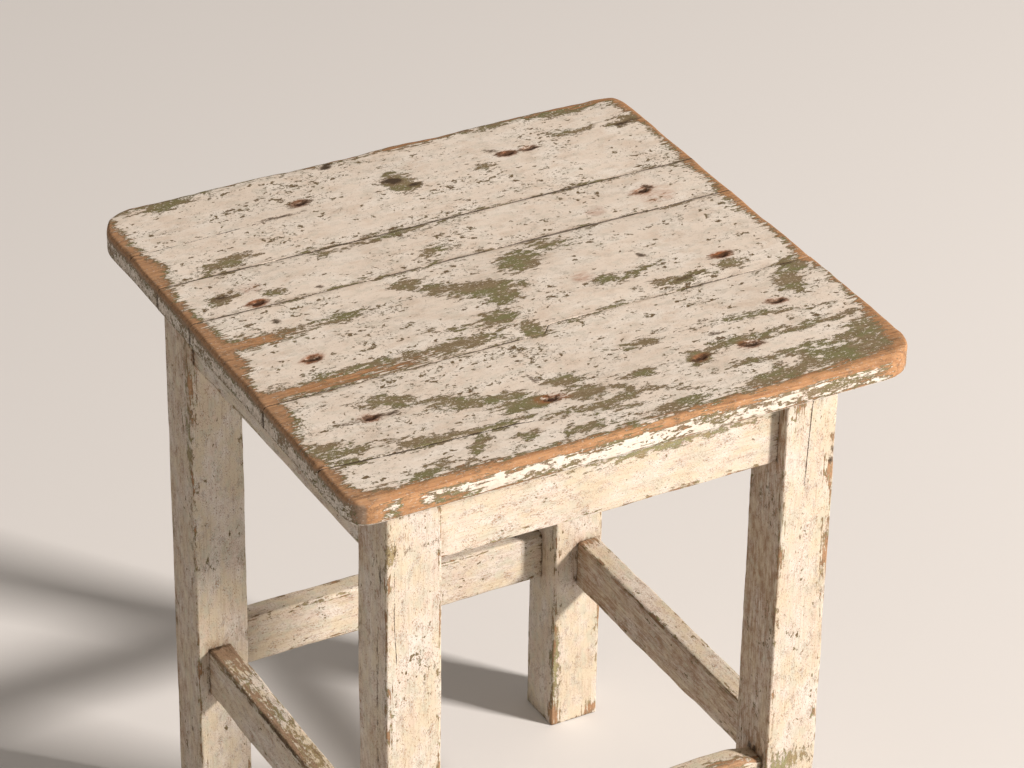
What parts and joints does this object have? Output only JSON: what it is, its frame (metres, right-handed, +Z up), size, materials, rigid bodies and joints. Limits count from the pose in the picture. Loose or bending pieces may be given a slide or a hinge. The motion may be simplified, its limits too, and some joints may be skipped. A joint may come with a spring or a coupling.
{
  "type": "potting bench",
  "caption": "Small square painted softwood potting bench or stool, with nailed top boards on square legs, aprons under the top and low rails.",
  "frame": {"origin": "on the floor, under the middle of the square top", "axes": "+Z up, X along the front and along the top boards, +Y from the front to the back"},
  "size_m": [0.4, 0.4, 0.475],
  "materials": {
    "painted_top": "worn off-white paint over olive-green undercoat and bare pine",
    "painted_frame": "chalky cream paint with scuffs, dirt and bare arrises",
    "rusty_iron": "rusted flat nail heads"
  },
  "bodies": {
    "root": {"board_back": "painted_top", "board_narrow": "painted_top", "board_middle": "painted_top", "board_front": "painted_top", "leg_front_left": "painted_frame", "leg_front_right": "painted_frame", "leg_back_right": "painted_frame", "leg_back_left": "painted_frame", "apron_front": "painted_frame", "apron_right": "painted_frame", "apron_back": "painted_frame", "apron_left": "painted_frame", "rail_front": "painted_frame", "rail_right": "painted_frame", "rail_back": "painted_frame", "rail_left": "painted_frame", "nails_front": "rusty_iron", "nails_right": "rusty_iron", "nails_back": "rusty_iron", "nails_left": "rusty_iron"}
  },
  "joints": []
}
